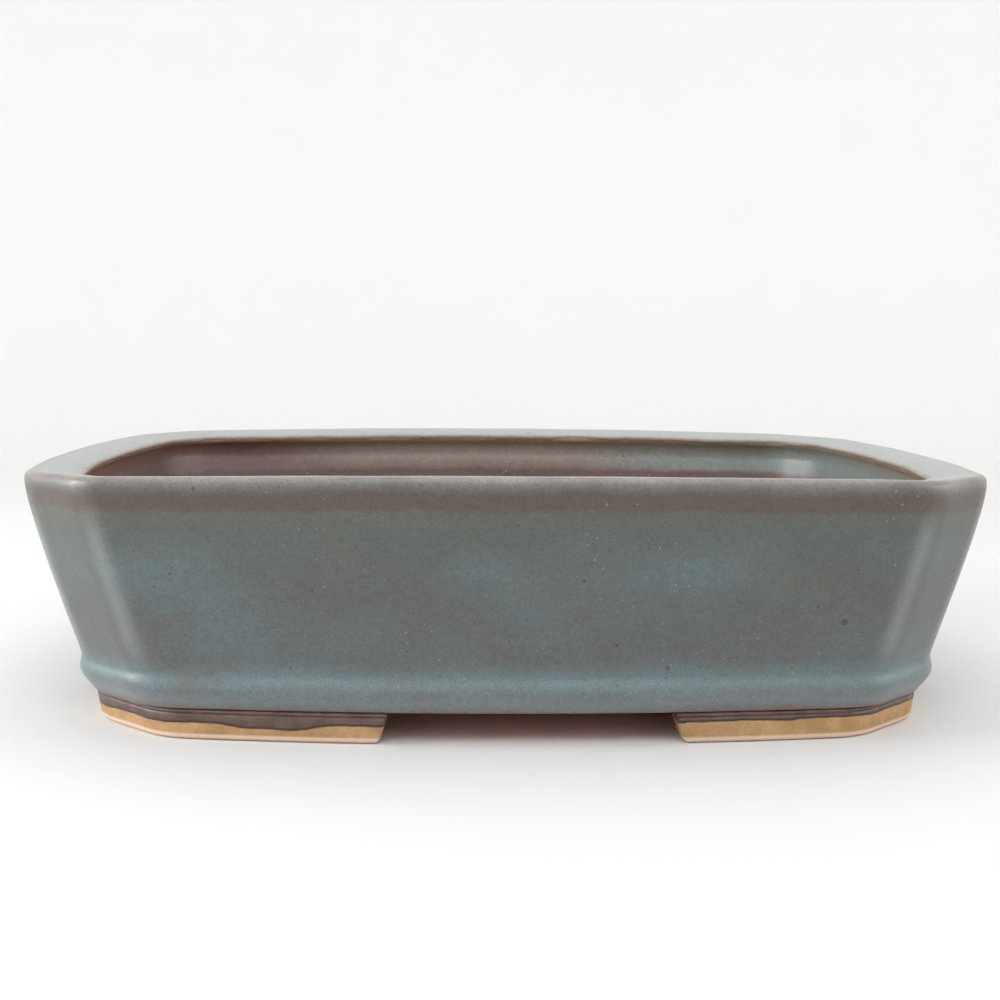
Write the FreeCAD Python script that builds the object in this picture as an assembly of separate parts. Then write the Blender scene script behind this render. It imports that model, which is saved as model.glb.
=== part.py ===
"""A slab-built rectangular bonsai pot with cut corners, as the clay pieces that its maker cuts and joins.

The origin is at the middle of the footprint, at the height of the surface that the feet stand on.
+X runs along the pot's length, +Y goes from its front to its rear and +Z is up. Lengths are in millimetres.
"""

import FreeCAD
import Part

import math
import os

V = FreeCAD.Vector
UP = V(0, 0, 1)

# The plan at the rim: sizes between its square corners, before its four sides bow outwards.
RIM_LENGTH = 238.4
RIM_WIDTH = 173.0
RIM_CUT = 18.5          # taken off each side at a corner
RIM_LONG_BOW = 5.0      # how far the middle of the front and the rear stands out
SIDE_BOW = 5.4          # the same for the two short sides, at every height
CORNER_BLEND = 5.5      # how far the soft bend at each end of a cut corner reaches

# The plan at the base, which is the floor slab's edge.
BASE_INSET = 14.0       # from the rim's outline, on every side
BASE_CUT = 19.0
BASE_LONG_BOW = 7.0

# Heights and thicknesses.
HEIGHT = 66.6           # to the edge of the lip before it is rounded
FOOT_HEIGHT = 8.0
FLOOR_THICK = 7.0
WALL_THICK = 7.2

# The lip that is laid on top of the walls and overhangs them inside.
LIP_WIDTH = 14.0
LIP_THICK = 6.0
LIP_FALL = 2.0          # how much lower its top lies at its inner edge
LIP_OUTER_ROUND = 1.4
LIP_INNER_ROUND = 0.7
LIP_UNDERCUT = 1.2      # how far its inner face slopes back to its underside

# The belt moulding that covers the joint between the floor and the walls.
BELT_GROOVE = 0.6       # the groove under it, above the feet
BELT_HEIGHT = 7.8
BELT_BULGE = 4.2        # from the slab's edge to its fullest line
BELT_FULLEST = 0.62     # the height of that line, as a share of the belt's own
BELT_BOTTOM_STEP = 1.4  # from the slab's edge to its lower outer edge
BELT_TOP_STEP = 3.2     # from the slab's edge to its upper edge, which lies on the wall
BELT_TOP_SUNK = 0.5     # how far behind the wall's face the strip reaches before it is cut back to it

# The four feet.
FOOT_INSET = -0.6       # from the slab's edge to the top of a foot's outer face, which stands out past it
FOOT_DRAFT = 1.0        # how much further in that face lies at its bottom
FOOT_ARM_WIDTH = 14.0
FOOT_BEVEL = 0.8
LONG_GAP = 69.0         # between two feet along a long side, under the slab
LONG_GAP_SHIFT = 4.3    # how far to the right of the middle that gap lies
SHORT_GAP = 52.0        # the same along a short side
GAP_FLARE = 2.7         # how much wider a gap is at each end on the floor

# Holes through the floor.
DRAIN_RADIUS = 9.0
DRAIN_SPACING = 110.0
WIRE_RADIUS = 2.4
WIRE_SPACING_X = 60.0
WIRE_SPACING_Y = 74.0

SIDES = ("front", "right", "rear", "left")
CORNERS = ("front_right", "rear_right", "rear_left", "front_left")
CUT_SHRINK = 2 - math.sqrt(2)   # how much a cut shrinks for each millimetre that a parallel face is deeper
HANDLE = 0.6            # of half a soft bend's chord, which is how far off its control points are
WIDEST_BLEND = 0.4      # of a cut corner's flat, which is the most that a bend may take of it
ROUND_STEPS = 4         # how many narrow bands a rounded edge has
CUTTER_OUT = 30.0       # how far the blocks that part the rings reach past the rim
CUTTER_IN = 45.0        # and inside it

floor_top = FOOT_HEIGHT + FLOOR_THICK
wall_top = HEIGHT - LIP_THICK
belt_bottom = FOOT_HEIGHT + BELT_GROOVE
belt_top = belt_bottom + BELT_HEIGHT
wall_foot_inset = BASE_INSET - BELT_TOP_STEP
wall_lean = wall_foot_inset / (HEIGHT - belt_top)
wall_head_inset = wall_lean * LIP_THICK


class Side:
    """One bowed side of an outline, facing away from the centre in one of the four directions."""

    def __init__(self, quarter, half_chord, distance, bow):
        facing = math.radians(90 * quarter - 90)
        self.facing = facing
        self.outward = V(math.cos(facing), math.sin(facing), 0)
        self.along = V(-math.sin(facing), math.cos(facing), 0)
        self.radius = (half_chord ** 2 + bow ** 2) / (2 * bow)
        self.swing = math.asin(half_chord / self.radius) - CORNER_BLEND / self.radius
        self.centre = self.outward * (distance + bow - self.radius)
        self.first_tip = self.outward * distance - self.along * half_chord
        self.last_tip = self.outward * distance + self.along * half_chord

    def arc(self, z):
        """The side's curve at height z, without the soft bends at its ends."""
        circle = Part.Circle(self.centre + UP * z, UP, self.radius)
        return Part.ArcOfCircle(circle, self.facing - self.swing, self.facing + self.swing).toShape()


def plan(inset, depth=0):
    """The four sides of a face that lies so deep in the clay, where the outer face is inset from the rim."""
    share = inset / BASE_INSET
    cut = RIM_CUT + share * (BASE_CUT - RIM_CUT) - depth * CUT_SHRINK
    long_bow = RIM_LONG_BOW + share * (BASE_LONG_BOW - RIM_LONG_BOW)
    half_length, half_width = RIM_LENGTH / 2 - inset - depth, RIM_WIDTH / 2 - inset - depth
    sizes = [(half_length - cut, half_width, long_bow), (half_width - cut, half_length, SIDE_BOW)] * 2
    return [Side(quarter, *size) for quarter, size in enumerate(sizes)]


def bend(start, start_way, end, end_way):
    """A soft bend between two edges' ends, as long on each side as the way to its end allows."""
    reach = HANDLE * (end - start).Length / 2
    curve = Part.BezierCurve()
    curve.setPoles([start, start + start_way * reach, end - end_way * reach, end])
    return curve.toShape()


def corner(before, after, z):
    """The two soft bends and the flat between them that join one side to the next."""
    flat = after.first_tip - before.last_tip
    blend = min(CORNER_BLEND, flat.Length * WIDEST_BLEND)
    flat.normalize()
    leaving = before.arc(z)
    arriving = after.arc(z)
    flat_start = before.last_tip + flat * blend + UP * z
    flat_end = after.first_tip - flat * blend + UP * z
    side_end = leaving.valueAt(leaving.LastParameter)
    side_start = arriving.valueAt(arriving.FirstParameter)
    return [
        bend(side_end, leaving.tangentAt(leaving.LastParameter), flat_start, flat),
        Part.makeLine(flat_start, flat_end),
        bend(flat_end, flat, side_start, arriving.tangentAt(arriving.FirstParameter)),
    ]


def outline(inset, z, depth=0):
    """The closed wire of the pot's plan at an inset from the rim and a depth in the clay."""
    sides = plan(inset, depth)
    edges = []
    for before, after in zip(sides, sides[1:] + sides[:1]):
        edges.append(before.arc(z))
        edges += corner(before, after, z)
    return Part.Wire(edges)


def stacked(sections):
    """A solid through outlines given as (inset, z) or (inset, z, depth), from the lowest to the highest."""
    return Part.makeLoft([outline(*section) for section in sections], True, True)


def arc_sections(start, middle, end):
    """The sections along the arc through three (inset, z) points."""
    arc = Part.Arc(*[V(inset, z, 0) for inset, z in (start, middle, end)]).toShape()
    return [(point.x, point.y) for point in arc.discretize(ROUND_STEPS + 1)]


def rounded(before, tip, after, radius):
    """The sections along the round that replaces the tip of a profile."""
    before, tip, after = [V(inset, z, 0) for inset, z in (before, tip, after)]
    back, on = (before - tip).normalize(), (after - tip).normalize()
    half_angle = back.getAngle(on) / 2
    reach = radius / math.tan(half_angle)
    depth = radius / math.sin(half_angle) - radius
    stops = (tip + back * reach, tip + (back + on).normalize() * depth, tip + on * reach)
    return arc_sections(*[(stop.x, stop.y) for stop in stops])


def mitre_cutters():
    """Eight blocks that part a ring at the corners: the four sides', then the four cut corners'."""
    joints = []
    for top, bottom in zip(plan(0), plan(BASE_INSET)):
        for name in ("first_tip", "last_tip"):
            tip = getattr(top, name)
            inwards = (getattr(bottom, name) - tip).normalize()
            joints.append((tip - inwards * CUTTER_OUT, tip + inwards * CUTTER_IN))
    blocks = []
    for first in (0, 2, 4, 6, 1, 3, 5, 7):
        (outer_a, inner_a), (outer_b, inner_b) = joints[first], joints[(first + 1) % 8]
        floor = Part.makePolygon([outer_a, outer_b, inner_b, inner_a, outer_a])
        blocks.append(Part.Face(floor).extrude(UP * HEIGHT))
    return blocks


def parted(ring, kind):
    """A ring as eight pieces that meet at mitred joints, by node name."""
    names = [f"{kind}_{side}" for side in SIDES] + [f"{kind}_corner_{place}" for place in CORNERS]
    return {name: ring.common(block) for name, block in zip(names, mitre_cutters())}


def floor_slab():
    """The floor, with two drain holes and four small holes for the wires that tie a tree down."""
    slab = stacked([(BASE_INSET, FOOT_HEIGHT), (BASE_INSET, floor_top)])
    holes = [(side * DRAIN_SPACING / 2, 0, DRAIN_RADIUS) for side in (-1, 1)]
    holes += [
        (x * WIRE_SPACING_X / 2, y * WIRE_SPACING_Y / 2, WIRE_RADIUS) for x in (-1, 1) for y in (-1, 1)
    ]
    for x, y, radius in holes:
        slab = slab.cut(Part.makeCylinder(radius, FLOOR_THICK, V(x, y, FOOT_HEIGHT)))
    return slab


def leaning(depth=0):
    """The solid inside the walls' outer faces, or inside the faces that lie so deep behind them."""
    bottom = wall_foot_inset + (belt_top - floor_top) * wall_lean
    return stacked([(bottom, floor_top, depth), (wall_head_inset, wall_top, depth)])


def lip_ring():
    """The lip: it falls slightly inwards on top, has soft edges and goes on down as the wall leans."""
    outer_foot, outer_tip = (wall_head_inset, wall_top), (0, HEIGHT)
    inner_tip, inner_foot = (LIP_WIDTH, HEIGHT - LIP_FALL), (LIP_WIDTH - LIP_UNDERCUT, wall_top)
    outside = [outer_foot] + rounded(outer_foot, outer_tip, inner_tip, LIP_OUTER_ROUND)
    mouth = [inner_foot] + rounded(inner_foot, inner_tip, outer_tip, LIP_INNER_ROUND)
    return stacked(outside).cut(stacked([(0, z, inset) for inset, z in mouth] + outside[-1:]))


def belt_strip():
    """The belt's half-round outside, before it is cut to lie over the slab's edge and the walls' foot."""
    low = (BASE_INSET - BELT_BOTTOM_STEP, belt_bottom)
    full = (BASE_INSET - BELT_BULGE, belt_bottom + BELT_HEIGHT * BELT_FULLEST)
    high = (wall_foot_inset + BELT_TOP_SUNK, belt_top)
    return stacked(arc_sections(low, full, high))


def gap_cutter(half_gap, shift, half_reach, facing):
    """The tapering space that parts two feet, wider on the floor, as one bar right across the pot."""
    points = [
        V(-half_gap, 0, FOOT_HEIGHT),
        V(half_gap, 0, FOOT_HEIGHT),
        V(half_gap + GAP_FLARE, 0, 0),
        V(-half_gap - GAP_FLARE, 0, 0),
    ]
    bar = Part.Face(Part.makePolygon(points + points[:1])).extrude(V(0, 2 * half_reach, 0))
    bar.translate(V(shift, -half_reach, 0))
    bar.rotate(V(0, 0, 0), UP, facing)
    return bar


def feet():
    """The four feet: one band under the slab's edge, parted by a gap in each side."""
    bottom = FOOT_INSET + FOOT_DRAFT
    inner = FOOT_INSET + FOOT_ARM_WIDTH
    outside = ((0, bottom + FOOT_BEVEL), (FOOT_BEVEL, bottom), (FOOT_HEIGHT, FOOT_INSET))
    band = stacked([(BASE_INSET, z, depth) for z, depth in outside])
    band = band.cut(stacked([(BASE_INSET, z, inner) for z in (0, FOOT_HEIGHT)]))
    band = band.cut(gap_cutter(LONG_GAP / 2, LONG_GAP_SHIFT, RIM_WIDTH, 0))
    band = band.cut(gap_cutter(SHORT_GAP / 2, 0, RIM_LENGTH, 90))
    names = {(1, -1): CORNERS[0], (1, 1): CORNERS[1], (-1, 1): CORNERS[2], (-1, -1): CORNERS[3]}
    found = {}
    for solid in band.Solids:
        place = solid.CenterOfMass
        found["foot_" + names[(math.copysign(1, place.x), math.copysign(1, place.y))]] = solid
    return found


def pot():
    """Every piece by its node name."""
    slab = floor_slab()
    walls = leaning()
    pieces = {"floor_slab": slab}
    pieces.update(parted(walls.cut(leaning(WALL_THICK)), "wall"))
    pieces.update(parted(lip_ring(), "lip"))
    for name, strip in parted(belt_strip(), "belt").items():
        pieces[name] = strip.cut(walls).cut(slab)
    pieces.update(feet())
    return pieces


os.makedirs("parts", exist_ok=True)
for name, shape in pot().items():
    shape.exportStep(f"parts/{name}.step")
    box = shape.BoundBox
    volume = shape.Volume / 1000
    print(f"{name}: {len(shape.Solids)} solid, {volume:.1f} cm3, z {box.ZMin:.1f} to {box.ZMax:.1f}")
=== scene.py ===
"""A slab-built bonsai pot with cut corners and four feet: satin blue-grey glaze over buff stoneware."""

import functools
import math

import bmesh
import bpy
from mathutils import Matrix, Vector, noise


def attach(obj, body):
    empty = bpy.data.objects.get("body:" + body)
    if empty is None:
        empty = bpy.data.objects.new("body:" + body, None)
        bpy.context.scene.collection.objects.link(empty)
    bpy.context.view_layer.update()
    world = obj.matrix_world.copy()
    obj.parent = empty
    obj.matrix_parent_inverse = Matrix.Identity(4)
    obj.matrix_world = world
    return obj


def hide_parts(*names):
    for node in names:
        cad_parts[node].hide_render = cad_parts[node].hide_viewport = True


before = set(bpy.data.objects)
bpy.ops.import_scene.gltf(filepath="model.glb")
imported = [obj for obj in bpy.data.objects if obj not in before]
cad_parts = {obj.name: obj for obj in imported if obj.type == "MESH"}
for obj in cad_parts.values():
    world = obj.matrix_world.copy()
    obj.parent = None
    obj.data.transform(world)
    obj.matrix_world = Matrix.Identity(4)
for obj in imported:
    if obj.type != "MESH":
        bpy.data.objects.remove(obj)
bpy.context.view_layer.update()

MM = 0.001


# The studio. A white paper cove goes right round the pot and a wide cloth-covered light hangs over it. One
# light stands in front, above the camera, and a small one stands at each end, stronger at the left.
CAMERA_PLACE = (-0.01494, -0.43184, 0.09844)
CAMERA_TURN = (1.46149, -0.00815, -0.03301)
CAMERA_LENS = 54.0

view_camera = bpy.data.cameras.new("studio camera")
view_camera.lens = CAMERA_LENS
view_camera.sensor_width = 36.0
view_camera.clip_start = 0.01
camera = bpy.data.objects.new("studio_camera", view_camera)
camera.location = CAMERA_PLACE
camera.rotation_euler = CAMERA_TURN
bpy.context.scene.collection.objects.link(camera)
bpy.context.scene.camera = camera
bpy.context.scene.view_settings.view_transform = "Standard"


def paint(code):
    """The linear colour of an sRGB hex code."""
    parts = [int(code[place:place + 2], 16) / 255 for place in (1, 3, 5)]
    return [part / 12.92 if part <= 0.04045 else ((part + 0.055) / 1.055) ** 2.4 for part in parts] + [1.0]


def add_node(tree, kind, links=None, stops=None, **settings):
    """A new node with its settings, its sockets' links or values, and a ramp's stops."""
    node = tree.nodes.new("ShaderNode" + kind)
    for name, value in settings.items():
        setattr(node, name, value)
    for socket, source in (links or {}).items():
        if isinstance(source, bpy.types.NodeSocket):
            tree.links.new(source, node.inputs[socket])
        else:
            node.inputs[socket].default_value = source
    for count, (place, colour) in enumerate(stops or []):
        elements = node.color_ramp.elements
        element = elements[count] if count < 2 else elements.new(place)
        element.position = place
        element.color = paint(colour)
    return node


def new_material(name, **values):
    """A material with one Principled shader, and that shader's values that are the same all over."""
    material = bpy.data.materials.new(name)
    material.use_nodes = True
    shader = material.node_tree.nodes["Principled BSDF"]
    for socket, value in values.items():
        shader.inputs[socket.replace("_", " ")].default_value = value
    return material, material.node_tree, shader


def soft_light(name, place, turn, size, power, tint):
    """One cloth-covered studio light."""
    light = bpy.data.lights.new(name, "AREA")
    light.shape = "RECTANGLE"
    light.size, light.size_y = size
    light.energy = power
    light.color = paint(tint)[:3]
    lamp = bpy.data.objects.new(name, light)
    lamp.location = place
    lamp.rotation_euler = turn
    bpy.context.scene.collection.objects.link(lamp)


COVE_RADIUS = 1.1
COVE_BEND = 0.45
COVE_HEIGHT = 1.6
COVE_SIDES = 96

bpy.ops.object.select_all(action="DESELECT")
bpy.ops.mesh.primitive_circle_add(vertices=COVE_SIDES, radius=COVE_RADIUS - COVE_BEND, fill_type="NGON")
cove = bpy.context.object
cove.name = "paper_cove"
bpy.ops.object.mode_set(mode="EDIT")
bpy.ops.mesh.select_mode(type="EDGE")
bpy.ops.mesh.select_all(action="DESELECT")
bpy.ops.mesh.select_non_manifold()
COVE_STEPS = 8
for step in range(1, COVE_STEPS + 1):
    angle = math.radians(90 * step / COVE_STEPS)
    radius = COVE_RADIUS - COVE_BEND + COVE_BEND * math.sin(angle)
    bpy.ops.mesh.extrude_region_move()
    rim = bmesh.from_edit_mesh(cove.data)
    for vert in rim.verts:
        if vert.select:
            flat = Vector((vert.co.x, vert.co.y)).normalized() * radius
            vert.co = (flat.x, flat.y, COVE_BEND * (1 - math.cos(angle)))
bpy.ops.mesh.extrude_region_move(TRANSFORM_OT_translate={"value": (0, 0, COVE_HEIGHT - COVE_BEND)})
bpy.ops.object.mode_set(mode="OBJECT")
bpy.ops.object.shade_smooth()
# Matt seamless paper: plain, with no gloss.
white_paper, _, _ = new_material("matt seamless paper", Base_Color=paint("#E5E5E5"), Roughness=0.9)
cove.data.materials.append(white_paper)

soft_light("overhead_light", (0, 0.4, 1.55), (0, 0, 0), (1.7, 1.7), 7.3, "#FFFDFA")
soft_light("front_light", (0, -0.95, 0.85), (math.radians(50), 0, 0), (1.3, 0.7), 7.4, "#FFFFFF")
END_LIGHT_TURN = math.radians(78)
for name, hand, power in (("left_light", -1, 6.4), ("right_light", 1, 2.1)):
    place = (hand * 0.85, -0.18, 0.22)
    soft_light(name, place, (math.radians(90), 0, hand * END_LIGHT_TURN), (0.3, 0.4), power, "#FFFFFF")
world = bpy.data.worlds.new("studio air")
world.use_nodes = True
world.node_tree.nodes["Background"].inputs["Color"].default_value = paint("#FBFCFD")
world.node_tree.nodes["Background"].inputs["Strength"].default_value = 0.25
bpy.context.scene.world = world


# The body: floor edge, belt, walls and lip are clay slabs luted together, smoothed over and covered by one
# coat of glaze, so they show as one skin. It is drawn ring by ring from under the belt, up the wall, over
# the lip and down inside to the floor. Sizes are in millimetres; an inset is measured in from the rim.
RIM_LENGTH = 238.4
RIM_WIDTH = 173.0
RIM_CUT = 18.5
RIM_BOW = 5.0
END_BOW = 5.4
CORNER_BLEND = 5.5
BASE_INSET = 14.0
BASE_CUT = 19.0
BASE_BOW = 7.0
HANDLE = 0.6
WIDEST_BLEND = 0.4
CUT_SHRINK = 0.586      # how much a cut corner's cut shrinks for each millimetre that a face lies deeper
SIDE_SHARE = 0.7        # of a quarter turn round the pot that is its bowed side, and the rest is the corner
RIM_HEIGHT = 66.3
RIM_SAG = 1.75          # the two ends of the rim sank this much in the kiln
FLOOR_BOTTOM = 8.0
FLOOR_TOP = 15.0
FLOOR_EDGE = 21.5       # the inset at which the skin ends and the floor's own surface starts
BASE_SHIFT = 1.1        # the base sits this far to the right under the rim
BEND_STEPS = 6
FLAT_STEPS = 5
LONG_STEPS = 26
SHORT_STEPS = 18


@functools.lru_cache(maxsize=None)
def plan_side(quarter, inset, depth):
    """One bowed side of the plan: its facing, half angle, radius, centre and its two square tips.
    The inset is the outer face's from the rim, and the depth is measured from that face into the clay."""
    share = inset / BASE_INSET
    cut = RIM_CUT + share * (BASE_CUT - RIM_CUT) - depth * CUT_SHRINK
    reach = (RIM_WIDTH / 2 - inset - depth, RIM_LENGTH / 2 - inset - depth)
    distance, half_chord = (reach[0], reach[1] - cut) if quarter % 2 == 0 else (reach[1], reach[0] - cut)
    bow = RIM_BOW + share * (BASE_BOW - RIM_BOW) if quarter % 2 == 0 else END_BOW
    facing = math.radians(90 * quarter - 90)
    outward = Vector((math.cos(facing), math.sin(facing)))
    along = Vector((-math.sin(facing), math.cos(facing)))
    radius = (half_chord ** 2 + bow ** 2) / (2 * bow)
    swing = math.asin(half_chord / radius) - CORNER_BLEND / radius
    tips = [outward * distance + along * half_chord * hand for hand in (-1, 1)]
    return facing, swing, radius, outward * (distance + bow - radius), tips


def on_arc(side, angle):
    """The point of a side's arc at an angle from its middle, and the way the arc goes there."""
    facing, _, radius, centre, _ = side
    turned = facing + angle
    outward = Vector((math.cos(turned), math.sin(turned)))
    onward = Vector((-math.sin(turned), math.cos(turned)))
    return centre + outward * radius, onward


def soft_bend(start, start_way, end, end_way, share):
    """A point of the soft bend between two straight ends."""
    reach = HANDLE * (end - start).length / 2
    near, far = start + start_way * reach, end - end_way * reach
    left = 1 - share
    return start * left ** 3 + near * 3 * left ** 2 * share + far * 3 * left * share ** 2 + end * share ** 3


def plan_point(turn, inset, depth):
    """The plan's point after so many quarter turns from the left end of the front side."""
    quarter, part = divmod(turn, 1)
    here = plan_side(int(quarter) % 4, inset, depth)
    if part <= SIDE_SHARE:
        return on_arc(here, here[1] * (2 * part / SIDE_SHARE - 1))[0]
    after = plan_side((int(quarter) + 1) % 4, inset, depth)
    share = (part - SIDE_SHARE) / (1 - SIDE_SHARE) * 3
    flat = after[4][0] - here[4][1]
    blend = min(CORNER_BLEND, flat.length * WIDEST_BLEND)
    flat.normalize()
    flat_start, flat_end = here[4][1] + flat * blend, after[4][0] - flat * blend
    side_end, end_way = on_arc(here, here[1])
    side_start, start_way = on_arc(after, -after[1])
    if share < 1:
        return soft_bend(side_end, end_way, flat_start, flat, share)
    if share < 2:
        return flat_start.lerp(flat_end, share - 1)
    return soft_bend(flat_end, flat, side_start, start_way, share - 2)


def bend_share(turn):
    """How near a place round the plan is to the middle of a corner's soft bend, from 0 to 1."""
    share = (turn % 1 - SIDE_SHARE) / (1 - SIDE_SHARE) * 3
    if share <= 0 or 1 < share < 2:
        return 0.0
    return math.sin(math.pi * (share % 1))


def settled(flat, height):
    """A point of the real, slightly uneven pot in metres, from the true plan and height in millimetres."""
    rise = height / RIM_HEIGHT
    x = flat.x + BASE_SHIFT * (1 - rise)
    sag = RIM_SAG * (flat.x / (RIM_LENGTH / 2)) ** 2 * max(0.0, rise - 0.12) ** 1.5
    place = Vector((flat.x, flat.y, height * 1.6)) / 48.0
    swell = (0.6 + noise.noise(place)) * 0.35 * min(1.0, rise * 2)
    ease = 1 - swell / 90
    return Vector((x * ease, flat.y * ease, height - sag + 0.16 * noise.noise(place * 2.1) * rise)) * MM


LEAN = 0.206            # how far the wall's outer face comes in for each millimetre that it goes down


def outer_inset(height):
    """The inset of the wall's outer face at a height, which the faces inside it follow."""
    return min(BASE_INSET, max(0.0, (62.35 - height) * LEAN))


PROFILE = [  # the inset and the height of each ring, by the part of the skin it belongs to
    ("underside", [(FLOOR_EDGE, 8.0), (17.0, 8.0), (14.3, 8.0), (13.6, 8.05)]),
    ("lower edge", [(13.15, 8.2), (12.95, 8.5)]),
    ("belt edge", [(12.75, 8.9), (12.4, 9.4), (12.0, 10.0)]),
    ("belt", [(11.5, 10.7), (10.95, 11.6), (10.5, 12.6), (10.25, 13.5), (10.2, 14.2), (10.3, 15.0)]),
    ("crease", [(10.48, 15.7), (10.66, 16.3), (10.76, 16.9), (10.74, 17.6), (10.52, 18.6)]),
    ("wall", [(9.95, 21.0), (9.1, 23.8), (8.05, 27.5), (6.95, 31.5), (5.75, 36.0), (4.5, 41.0), (3.35, 46.0),
              (2.3, 51.0), (1.45, 55.5)]),
    ("under the rim", [(0.95, 58.15), (0.65, 60.55), (0.5, 62.15)]),
    ("rolled edge", [(0.4, 63.25), (0.38, 64.15), (0.45, 64.95), (0.68, 65.55), (1.05, 66.0),
                     (1.6, 66.25)]),
    ("lip", [(2.6, 66.3), (4.5, 66.05), (6.8, 65.75), (9.2, 65.4), (11.5, 65.05), (12.9, 64.75)]),
    ("inner edge", [(13.4, 64.62), (13.72, 64.45), (13.88, 64.15)]),
    ("lip face", [(13.88, 63.65), (13.7, 63.2), (13.25, 62.85)]),
    ("under the lip", [(12.2, 62.4), (11.1, 61.75), (10.2, 60.75), (9.7, 59.35), (9.55, 58.05)]),
    ("inner wall", [(9.7, 57.2), (10.15, 54.8), (11.2, 49.5), (12.4, 44.0), (13.6, 38.5), (14.8, 33.0),
                    (15.9, 28.0), (16.8, 23.5), (17.5, 20.0)]),
    ("cove", [(18.1, 17.6), (18.9, 16.1), (20.1, 15.25), (FLOOR_EDGE, FLOOR_TOP)]),
]
rings = [ring for _, part in PROFILE for ring in part]
runs = [0.0]
for lower, upper in zip(rings, rings[1:]):
    runs.append(runs[-1] + math.dist(lower, upper))


def run_to(part, more=0.0):
    """The place so many millimetres past the start of a part of the skin, as a share of the whole way."""
    before = 0
    for name, points in PROFILE:
        if name == part:
            return (runs[before] + more) / runs[-1]
        before += len(points)


turns = []
for quarter in range(4):
    side_steps = LONG_STEPS if quarter % 2 == 0 else SHORT_STEPS
    turns += [quarter + SIDE_SHARE * step / side_steps for step in range(side_steps)]
    shares = [step / BEND_STEPS for step in range(BEND_STEPS)]
    shares += [1 + step / FLAT_STEPS for step in range(FLAT_STEPS)]
    shares += [2 + step / BEND_STEPS for step in range(BEND_STEPS)]
    turns += [quarter + SIDE_SHARE + (1 - SIDE_SHARE) * share / 3 for share in shares]

bpy.ops.object.select_all(action="DESELECT")
bpy.ops.mesh.primitive_circle_add(vertices=len(turns), radius=0.1, fill_type="NOTHING")
body = bpy.context.object
body.name = "glazed_body"
body.data.name = "glazed_body"
body.data.attributes.new("glaze_run", "FLOAT", "POINT")
body.data.attributes.new("bend", "FLOAT", "POINT")
bpy.ops.object.mode_set(mode="EDIT")
bpy.ops.mesh.select_all(action="SELECT")
for count, (inset, height) in enumerate(rings):
    if count:
        bpy.ops.mesh.extrude_region_move()
    skin = bmesh.from_edit_mesh(body.data)
    run_layer = skin.verts.layers.float["glaze_run"]
    bend_layer = skin.verts.layers.float["bend"]
    moved = [vert for vert in skin.verts if vert.select]
    moved.sort(key=lambda vert: vert.index)
    for vert, turn in zip(moved, turns):
        outer = min(inset, outer_inset(height))
        vert.co = settled(plan_point(turn, outer, inset - outer), height)
        vert[run_layer] = runs[count] / runs[-1]
        vert[bend_layer] = bend_share(turn)
    bmesh.update_edit_mesh(body.data)
    skin.verts.index_update()
bpy.ops.mesh.select_all(action="DESELECT")
bpy.ops.mesh.select_mode(type="EDGE")
bpy.ops.mesh.select_non_manifold()
bpy.ops.mesh.bridge_edge_loops()
bpy.ops.mesh.select_all(action="SELECT")
bpy.ops.mesh.normals_make_consistent(inside=False)
bpy.ops.object.mode_set(mode="OBJECT")
smoothing = body.modifiers.new("smoothing", "SUBSURF")
smoothing.levels = smoothing.render_levels = 1
bpy.ops.object.modifier_apply(modifier="smoothing")
bpy.ops.object.shade_smooth()

# Satin-matt stoneware glaze, brushed on thick: blue-grey where it lies thick, brown where it breaks over an
# edge, with a fine mottle, iron specks and a few pinholes.
glaze, tree, shader = new_material("satin blue-grey stoneware glaze", IOR=1.5)
coords = add_node(tree, "TexCoord").outputs["Object"]
run = add_node(tree, "Attribute", attribute_name="glaze_run").outputs["Fac"]


def cloud(size, detail=3.0, rough=0.55, stretch=(1, 1, 1), seed=0.0):
    """Soft noise whose lumps are about size millimetres across, from 0 to 1."""
    placed = add_node(tree, "Mapping", {"Vector": coords, "Location": (seed, seed, seed), "Scale": stretch})
    made = add_node(tree, "TexNoise", {
        "Vector": placed.outputs[0], "Scale": 1 / (size * MM), "Detail": detail, "Roughness": rough,
    })
    return made.outputs["Fac"]


def sums(operation, *values, clamp=False):
    """One step of arithmetic on masks."""
    return add_node(tree, "Math", dict(enumerate(values)), operation=operation, use_clamp=clamp).outputs[0]


def between(value, low, high):
    """A mask that rises from 0 at low to 1 at high."""
    made = add_node(tree, "MapRange", {"Value": value, "From Min": low, "From Max": high}, clamp=True)
    made.interpolation_type = "SMOOTHSTEP"
    return made.outputs[0]


def blended(mask, under, over, blend_type="MIX"):
    """One colour laid over another through a mask."""
    made = add_node(tree, "Mix", data_type="RGBA", blend_type=blend_type)
    for name, source in (("Factor_Float", mask), ("A_Color", under), ("B_Color", over)):
        socket = next(socket for socket in made.inputs if socket.identifier == name)
        if isinstance(source, bpy.types.NodeSocket):
            tree.links.new(source, socket)
        else:
            socket.default_value = source
    return next(socket for socket in made.outputs if socket.identifier == "Result_Color")


def specks(spacing, size, share, seed):
    """Round specks of about size millimetres, in a share of the cells spacing millimetres apart."""
    placed = add_node(tree, "Mapping", {"Vector": coords, "Location": (seed, seed, seed)})
    cells = add_node(tree, "TexVoronoi", {"Vector": placed.outputs[0], "Scale": 1 / (spacing * MM)})
    near = between(cells.outputs["Distance"], size / spacing * 0.62, size / spacing * 0.38)
    pick = add_node(tree, "SeparateColor", {"Color": cells.outputs["Color"]}).outputs["Red"]
    return sums("MULTIPLY", near, sums("LESS_THAN", pick, share))


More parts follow.
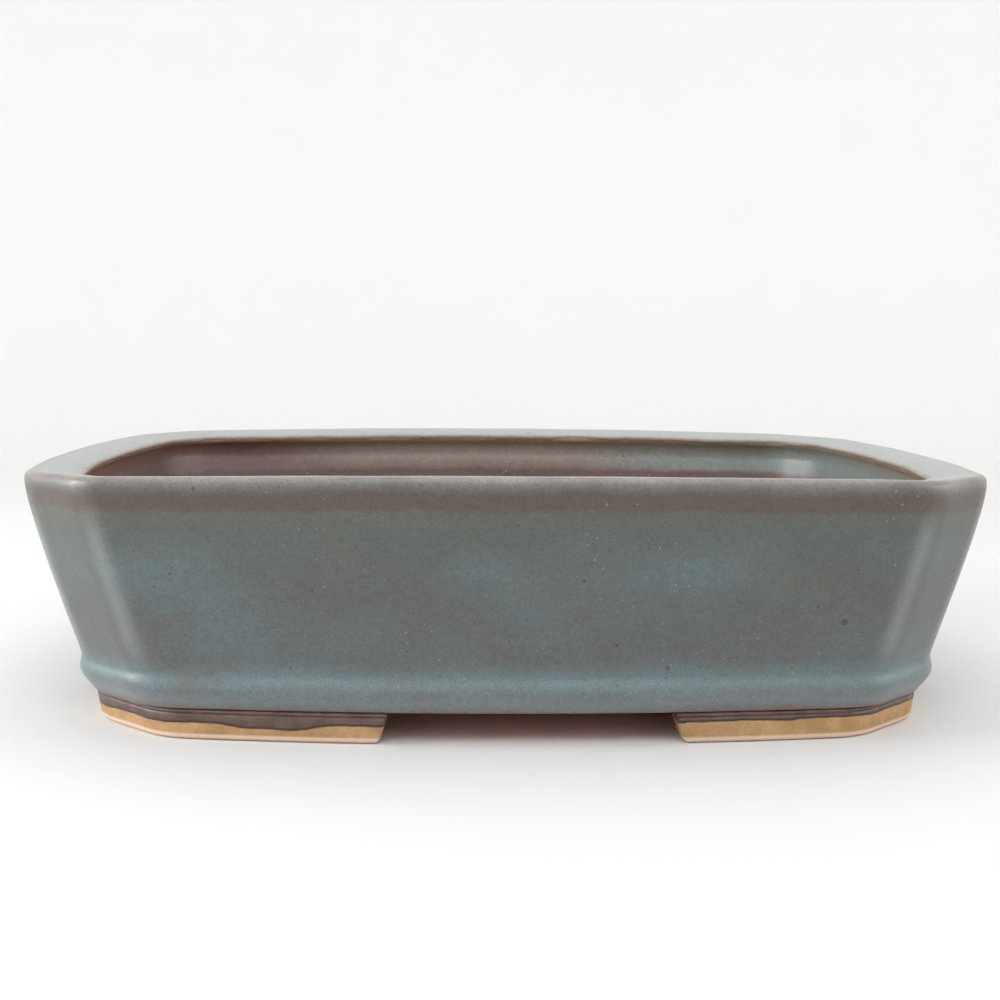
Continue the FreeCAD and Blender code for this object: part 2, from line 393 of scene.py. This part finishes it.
wander = sums("SUBTRACT", cloud(14, 4.0, 0.6), 0.5)
ragged = sums("SUBTRACT", cloud(1.6, 3.0, 0.6, seed=2.7), 0.5)
where = sums("ADD", run, sums("MULTIPLY", wander, run_to("underside", 3.2)))
where = sums("ADD", where, sums("MULTIPLY", ragged, run_to("underside", 0.8)))
zone = add_node(tree, "ValToRGB", {"Fac": where}, stops=[
    (0.0, "#DE7A54"),
    (run_to("underside", 6.0), "#A86850"),
    (run_to("lower edge"), "#79625B"),
    (run_to("belt edge"), "#707273"),
    (run_to("belt"), "#777E81"),
    (run_to("belt", 3.5), "#666F71"),
    (run_to("belt", 5.2), "#657679"),
    (run_to("wall"), "#5A5E5D"),
    (run_to("wall", 16.0), "#555857"),
    (run_to("under the rim", -5.0), "#525753"),
    (run_to("under the rim", -0.5), "#555651"),
    (run_to("under the rim", 0.8), "#524840"),
    (run_to("rolled edge", -1.0), "#534843"),
    (run_to("rolled edge", 0.3), "#5A5A57"),
    (run_to("rolled edge", 2.0), "#75716D"),
    (run_to("lip"), "#A19B97"),
    (run_to("lip", 1.5), "#A0A7A6"),
    (run_to("inner edge", -1.0), "#9CA0A0"),
    (run_to("inner edge", 0.3), "#8A7B71"),
    (run_to("lip face", 0.2), "#6A5449"),
    (run_to("lip face", 0.9), "#B1A59D"),
    (run_to("under the lip", 0.5), "#898278"),
    (run_to("inner wall"), "#8A8380"),
    (run_to("inner wall", 2.0), "#7C6B63"),
    (run_to("inner wall", 3.4), "#725C54"),
    (run_to("inner wall", 4.4), "#5E484C"),
    (run_to("inner wall", 6.6), "#5F494A"),
    (run_to("inner wall", 7.6), "#AD835A"),
    (run_to("cove"), "#B1875E"),
    (1.0, "#A9805A"),
]).outputs["Color"]

outside = sums("MULTIPLY", between(where, run_to("under the rim", -2.0), run_to("wall", 24.0)),
               between(where, run_to("belt"), run_to("belt", 4.0)))
inside_glaze = sums("MULTIPLY", between(run, run_to("lip face"), run_to("under the lip")),
                    between(where, run_to("inner wall", 5.0), run_to("inner wall", 2.4)))
length_way = add_node(tree, "SeparateXYZ", {"Vector": coords}).outputs["X"]
to_right = sums("MULTIPLY", inside_glaze, between(length_way, 15 * MM, 75 * MM))
to_left = sums("MULTIPLY", inside_glaze, between(length_way, -35 * MM, -85 * MM))
colour = blended(sums("MULTIPLY", to_right, 0.75), zone, paint("#77898B"))
colour = blended(sums("MULTIPLY", to_left, 0.9), colour, paint("#6C5755"))
blue_patch = sums("MULTIPLY", between(cloud(34, 3.0, 0.5, (0.7, 0.7, 1.3), 3.1), 0.42, 0.7), 0.32)
colour = blended(sums("MULTIPLY", blue_patch, outside), colour, paint("#607A82"))
brown_patch = sums("MULTIPLY", between(cloud(22, 5.0, 0.65, (0.8, 0.8, 1.2), 7.7), 0.5, 0.72), outside)
colour = blended(sums("MULTIPLY", brown_patch, 0.4), colour, paint("#5F554C"))
streak = between(cloud(5.0, 5.0, 0.7, (1.0, 1.0, 2.2), 4.6), 0.3, 0.7)
colour = blended(0.28, colour, blended(streak, paint("#B2AEA9"), paint("#C5C9CC")), "OVERLAY")
mottle = between(cloud(1.5, 4.0, 0.75, seed=1.3), 0.32, 0.68)
colour = blended(0.38, colour, blended(mottle, paint("#AEA9A4"), paint("#C8CBCE")), "OVERLAY")
grain = between(cloud(0.45, 3.0, 0.8, seed=5.9), 0.3, 0.7)
colour = blended(0.6, colour, blended(grain, paint("#A49F9A"), paint("#D0D3D5")), "OVERLAY")
dark_speck = sums("MAXIMUM", specks(2.3, 0.45, 0.3, 2.0), specks(7.0, 0.9, 0.3, 9.0))
dark_speck = sums("MAXIMUM", dark_speck, specks(14.0, 1.7, 0.3, 1.0))
colour = blended(sums("MULTIPLY", dark_speck, 0.65), colour, paint("#3A2E2A"))
pale_speck = sums("MAXIMUM", specks(1.9, 0.5, 0.4, 4.0), specks(9.0, 0.8, 0.2, 6.0))
crowd = between(cloud(30, 2.0, 0.5, seed=9.4), 0.45, 0.6)
pale_speck = sums("MULTIPLY", pale_speck, crowd)
colour = blended(sums("MULTIPLY", pale_speck, 0.4), colour, paint("#B0A38E"))
# A soft paler line down each bend beside a cut corner: a painted highlight, standing in for the sheen of
# light on the bend.
on_wall = sums("MULTIPLY", between(run, run_to("crease"), run_to("wall", 6.0)),
               between(run, run_to("rolled edge"), run_to("wall", 30.0)))
on_bend = add_node(tree, "Attribute", attribute_name="bend").outputs["Fac"]
painted_bend_highlight = sums("MULTIPLY", sums("MULTIPLY", sums("POWER", on_bend, 3.0), on_wall), 0.2)
colour = blended(painted_bend_highlight, colour, paint("#B7BCBB"))
tree.links.new(colour, shader.inputs["Base Color"])
gloss = add_node(tree, "MapRange", {"Value": mottle, "To Min": 0.3, "To Max": 0.4})
tree.links.new(gloss.outputs[0], shader.inputs["Roughness"])
relief = sums("ADD", sums("MULTIPLY", cloud(3.2, 3.0, 0.6, seed=8.1), 0.6), sums("MULTIPLY", grain, 0.15))
relief = sums("ADD", relief, sums("MULTIPLY", pale_speck, 0.3))
relief = sums("SUBTRACT", relief, sums("MULTIPLY", dark_speck, 0.5))
bump = add_node(tree, "Bump", {"Height": relief, "Strength": 0.4, "Distance": 0.3 * MM})
tree.links.new(bump.outputs[0], shader.inputs["Normal"])
body.data.materials.clear()
body.data.materials.append(glaze)

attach(body, "root")
covered = [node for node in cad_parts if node.split("_")[0] in ("wall", "lip", "belt")]
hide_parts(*covered)


# The floor: a rolled slab, glazed in a thin brown wash inside and bare underneath. Two drain holes and four
# small holes for the tying wires are cut through it with a tube while the clay is soft.
DRAIN_RADIUS = 9.0
DRAIN_PLACES = ((-55.0, 0.0), (55.0, 0.0))
WIRE_RADIUS = 2.4
WIRE_PLACES = ((-30.0, -37.0), (30.0, -37.0), (-30.0, 37.0), (30.0, 37.0))
HOLE_SOFTNESS = 0.9

bpy.ops.object.select_all(action="DESELECT")
bpy.ops.mesh.primitive_circle_add(vertices=len(turns), radius=0.1, fill_type="NGON")
floor = bpy.context.object
floor.name = "pot_floor"
floor.data.name = "pot_floor"
bpy.ops.object.mode_set(mode="EDIT")
slab = bmesh.from_edit_mesh(floor.data)
outer = outer_inset(FLOOR_BOTTOM)
for vert, turn in zip(sorted(slab.verts, key=lambda vert: vert.index), turns):
    vert.co = settled(plan_point(turn, outer, FLOOR_EDGE - outer), FLOOR_BOTTOM)
bmesh.update_edit_mesh(floor.data)
bpy.ops.mesh.select_all(action="SELECT")
bpy.ops.mesh.extrude_region_move()
slab = bmesh.from_edit_mesh(floor.data)
outer = outer_inset(FLOOR_TOP)
raised_verts = sorted([vert for vert in slab.verts if vert.select], key=lambda vert: vert.index)
for vert, turn in zip(raised_verts, turns):
    vert.co = settled(plan_point(turn, outer, FLOOR_EDGE - outer), FLOOR_TOP)
bmesh.update_edit_mesh(floor.data)
bpy.ops.mesh.select_all(action="SELECT")
bpy.ops.mesh.normals_make_consistent(inside=False)
bpy.ops.object.mode_set(mode="OBJECT")
holes = [(place, DRAIN_RADIUS, 48) for place in DRAIN_PLACES]
holes += [(place, WIRE_RADIUS, 24) for place in WIRE_PLACES]
for (x, y), radius, sides in holes:
    bpy.ops.object.select_all(action="DESELECT")
    bpy.ops.mesh.primitive_cylinder_add(
        vertices=sides, radius=radius * MM, depth=20 * MM, location=(x * MM, y * MM, FLOOR_TOP * MM),
    )
    tube = bpy.context.object
    cutting = floor.modifiers.new("cutting", "BOOLEAN")
    cutting.object = tube
    cutting.operation = "DIFFERENCE"
    cutting.solver = "EXACT"
    bpy.ops.object.select_all(action="DESELECT")
    floor.select_set(True)
    bpy.context.view_layer.objects.active = floor
    bpy.ops.object.modifier_apply(modifier="cutting")
    bpy.data.objects.remove(tube)
bpy.ops.object.mode_set(mode="EDIT")
bpy.ops.mesh.select_mode(type="EDGE")
bpy.ops.mesh.select_all(action="DESELECT")
slab = bmesh.from_edit_mesh(floor.data)
for edge in slab.edges:
    low, high = sorted(vert.co.z for vert in edge.verts)
    for (x, y), radius, sides in holes:
        middle = Vector((x, y)) * MM
        on_hole = all((vert.co.xy - middle).length < (radius + 0.05) * MM for vert in edge.verts)
        if on_hole and high - low < 0.1 * MM:
            edge.select = True
bmesh.update_edit_mesh(floor.data)
bpy.ops.mesh.bevel(offset=HOLE_SOFTNESS * MM, segments=3, affect="EDGES")
bpy.ops.object.mode_set(mode="OBJECT")
bpy.ops.object.shade_smooth_by_angle(angle=math.radians(40))

# Bare stoneware clay, fired to a warm buff and sandy to the eye, under a thin brown wash on the inside.
clay_floor, tree, shader = new_material("bare buff stoneware, washed brown", Roughness=0.85, IOR=1.45)
coords = add_node(tree, "TexCoord").outputs["Object"]
sand = between(cloud(0.8, 4.0, 0.75), 0.3, 0.7)
warm = cloud(18, 4.0, 0.6, seed=2.2)
clay = blended(warm, paint("#A9805A"), paint("#C09A6C"))
up = add_node(tree, "SeparateXYZ", {"Vector": coords}).outputs["Z"]
wash = between(cloud(22, 5.0, 0.6, seed=4.4), 0.3, 0.68)
wash = sums("MULTIPLY", between(up, 14.5 * MM, 14.9 * MM), wash)
under = between(up, 8.6 * MM, 8.2 * MM)
clay = blended(under, clay, paint("#DE7A54"))
clay = blended(sums("MULTIPLY", wash, 0.75), clay, paint("#75594E"))
clay = blended(0.6, clay, blended(sand, paint("#A6A5A3"), paint("#D0D0CF")), "OVERLAY")
tree.links.new(clay, shader.inputs["Base Color"])
bump = add_node(tree, "Bump", {"Height": sand, "Strength": 0.4, "Distance": 0.2 * MM})
tree.links.new(bump.outputs[0], shader.inputs["Normal"])
floor.data.materials.clear()
floor.data.materials.append(clay_floor)

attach(floor, "root")
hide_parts("floor_slab")


# The feet: four L-shaped strips of the same clay, luted under the corners. Their outsides carry a brushed
# purple-brown glaze that stops at a wavy line, and the edge they stand on is wiped and pared at a slant.
LONG_GAP = 69.0
LONG_GAP_SHIFT = 4.3
SHORT_GAP = 52.0
GAP_FLARE = 2.7
FOOT_HEIGHT = 8.0
FOOT_STEPS = 72
FOOT_SECTION = [
    (15.6, 0.0), (15.0, 0.2), (14.6, 0.7), (14.4, 1.2), (14.2, 2.2), (13.95, 3.6), (13.75, 5.0), (13.6, 6.1),
    (13.62, 6.5), (13.8, 6.75), (13.62, 7.0), (13.3, 7.2), (13.2, 7.45), (13.3, 7.7), (13.7, 7.9),
    (14.2, 8.0),
    (21.0, 8.0), (26.9, 8.0), (27.6, 7.7), (27.8, 7.0), (27.8, 4.0), (27.8, 1.0), (27.5, 0.3), (26.9, 0.0),
    (21.0, 0.0),
]
END_ROUND = 0.7         # how far a foot's cut ends are softened


def turn_at(quarter, along, depth):
    """The turn at which a side's arc is so far along from its middle."""
    _, swing, radius, _, _ = plan_side(quarter % 4, BASE_INSET, depth)
    return quarter + SIDE_SHARE * (math.asin(along / radius) / swing + 1) / 2


def foot_point(corner, share, inset, height, slip):
    """A point of a foot, a share of the way from its first cut end to its second, drawn in by slip there."""
    flare = GAP_FLARE * (1 - height / FOOT_HEIGHT)
    right_half, left_half = LONG_GAP / 2 + LONG_GAP_SHIFT, LONG_GAP / 2 - LONG_GAP_SHIFT
    starts = (right_half, SHORT_GAP / 2, left_half, SHORT_GAP / 2)
    ends = (SHORT_GAP / 2, right_half, SHORT_GAP / 2, left_half)
    depth = inset - BASE_INSET
    first = turn_at(corner, starts[corner] + flare + slip, depth)
    last = turn_at(corner + 1, -ends[corner] - flare - slip, depth)
    return plan_point(first + (last - first) * share, BASE_INSET, depth)


foot_names = ("foot_front_right", "foot_rear_right", "foot_rear_left", "foot_front_left")
foot_objects = []
for corner, name in enumerate(foot_names):
    bpy.ops.object.select_all(action="DESELECT")
    bpy.ops.mesh.primitive_circle_add(vertices=len(FOOT_SECTION), radius=0.01, fill_type="NOTHING")
    foot = bpy.context.object
    foot.name = name + "_clay"
    foot.data.name = foot.name
    middle = Vector((21.0, FOOT_HEIGHT / 2))
    stations = [(0.0, 1)] + [(step / FOOT_STEPS, 0) for step in range(FOOT_STEPS + 1)] + [(1.0, 1)]
    bpy.ops.object.mode_set(mode="EDIT")
    bpy.ops.mesh.select_all(action="SELECT")
    for count, (share, drawn_in) in enumerate(stations):
        if count:
            bpy.ops.mesh.extrude_region_move()
        strip = bmesh.from_edit_mesh(foot.data)
        moved = sorted([vert for vert in strip.verts if vert.select], key=lambda vert: vert.index)
        for vert, (inset, height) in zip(moved, FOOT_SECTION):
            if drawn_in:
                inset += math.copysign(END_ROUND, middle.x - inset)
                height += math.copysign(END_ROUND, middle.y - height)
            slip = 0.0 if drawn_in else END_ROUND
            vert.co = settled(foot_point(corner, share, inset, height, slip), height)
            vert.co.z = height * MM
        bmesh.update_edit_mesh(foot.data)
        strip.verts.index_update()
        if count in (0, len(stations) - 1):
            bpy.ops.mesh.edge_face_add()
            bpy.ops.mesh.select_all(action="DESELECT")
            strip = bmesh.from_edit_mesh(foot.data)
            for vert in strip.verts:
                vert.select = vert.index >= len(strip.verts) - len(FOOT_SECTION)
            strip.select_flush(True)
    bpy.ops.mesh.select_all(action="SELECT")
    bpy.ops.mesh.normals_make_consistent(inside=False)
    bpy.ops.object.mode_set(mode="OBJECT")
    bpy.ops.object.shade_smooth_by_angle(angle=math.radians(50))
    foot_objects.append(foot)

# The same buff clay, bare and dry, with an iron-rich purple-brown glaze above a wavy line. The pared edge
# at the bottom is painted paler: painted light on the bevel, not a colour of the clay.
foot_clay, tree, shader = new_material("buff stoneware with a brushed iron glaze", IOR=1.5)
coords = add_node(tree, "TexCoord").outputs["Object"]
up = add_node(tree, "SeparateXYZ", {"Vector": coords}).outputs["Z"]
sand = between(cloud(0.6, 4.0, 0.75), 0.3, 0.7)
clay = blended(between(cloud(9, 4.0, 0.6, seed=2.9), 0.35, 0.65), paint("#A27F58"), paint("#B7936A"))
clay = blended(0.5, clay, blended(sand, paint("#A9A8A6"), paint("#CECECD")), "OVERLAY")
painted_light_edge = between(up, 2.0 * MM, 1.2 * MM)
clay = blended(sums("MULTIPLY", painted_light_edge, 0.8), clay, paint("#E6CDB9"))
length_way = add_node(tree, "SeparateXYZ", {"Vector": coords}).outputs["X"]
on_right = sums("MULTIPLY", between(length_way, 0, 40 * MM), 1.1 * MM)
low_run = sums("MULTIPLY", between(length_way, -76 * MM, -62 * MM),
               between(length_way, -42 * MM, -54 * MM))
line = sums("SUBTRACT", on_right, sums("MULTIPLY", low_run, 1.2 * MM))
for size, swing in ((25, 2.4), (6, 0.9), (2, 0.35)):
    sway = sums("SUBTRACT", cloud(size, 2.0, 0.5, seed=6.3 + size), 0.5)
    line = sums("ADD", line, sums("MULTIPLY", sway, swing * MM))
above = sums("SUBTRACT", up, sums("ADD", line, 4.4 * MM))
covered_part = between(above, -0.2 * MM, 0.2 * MM)
pooled = sums("MULTIPLY", covered_part, between(above, 0.9 * MM, 0.2 * MM))
iron = blended(between(cloud(5, 4.0, 0.6, seed=3.3), 0.35, 0.65), paint("#4F3C38"), paint("#634E47"))
iron = blended(pooled, iron, paint("#2C1F1E"))
surface = blended(covered_part, clay, iron)
tree.links.new(surface, shader.inputs["Base Color"])
dryness = add_node(tree, "MapRange", {"Value": covered_part, "To Min": 0.85, "To Max": 0.38})
tree.links.new(dryness.outputs[0], shader.inputs["Roughness"])
raised = sums("ADD", sums("MULTIPLY", covered_part, 0.6), sums("MULTIPLY", sand, 0.25))
bump = add_node(tree, "Bump", {"Height": raised, "Strength": 0.5, "Distance": 0.3 * MM})
tree.links.new(bump.outputs[0], shader.inputs["Normal"])
for foot, name in zip(foot_objects, foot_names):
    foot.data.materials.clear()
    foot.data.materials.append(foot_clay)
    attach(foot, "root")
    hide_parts(name)
